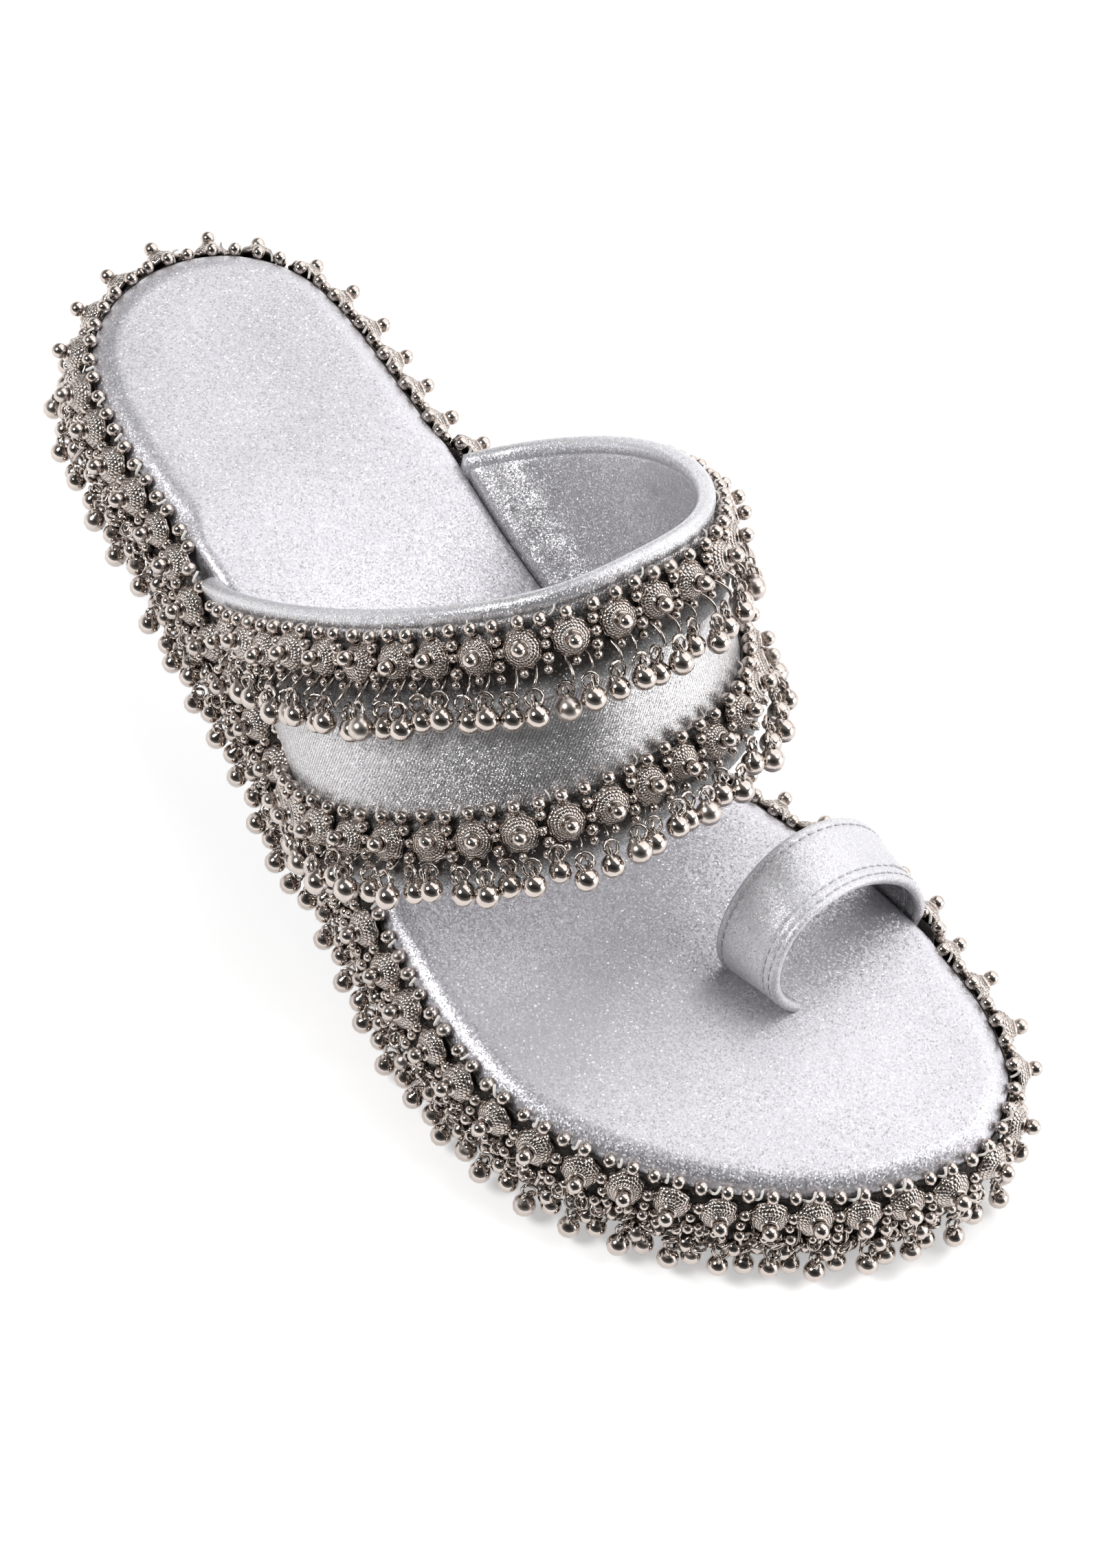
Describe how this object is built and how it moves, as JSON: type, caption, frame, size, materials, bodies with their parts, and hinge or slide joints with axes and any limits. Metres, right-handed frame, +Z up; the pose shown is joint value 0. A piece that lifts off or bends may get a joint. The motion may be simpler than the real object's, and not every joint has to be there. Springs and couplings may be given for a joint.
{
  "type": "wedge sandal",
  "caption": "Open wedge sandal for the right foot with a wide instep strap, a toe loop and a fringe of small bells along strap and sole edge.",
  "frame": {"origin": "on the floor, under the middle of the whole shoe's box", "axes": "+Y to the toe, +X to the outer (lateral) side of a right foot, +Z up"},
  "size_m": [0.1176, 0.2672, 0.1102],
  "materials": {
    "outsole": "matt",
    "wedge": "metallic cover",
    "footbed": "metallic glitter cover over padding",
    "strap": "metallic glitter cover",
    "toe_loop": "metallic glitter cover",
    "sole_trim": "oxidised silver tone",
    "strap_trim": "oxidised silver tone"
  },
  "bodies": {
    "root": {"outsole": "outsole", "wedge": "wedge", "footbed": "footbed", "strap_band": "strap", "toe_loop": "toe_loop", "sole_trim": "sole_trim", "rear_strap_trim": "strap_trim", "front_strap_trim": "strap_trim"}
  },
  "joints": []
}
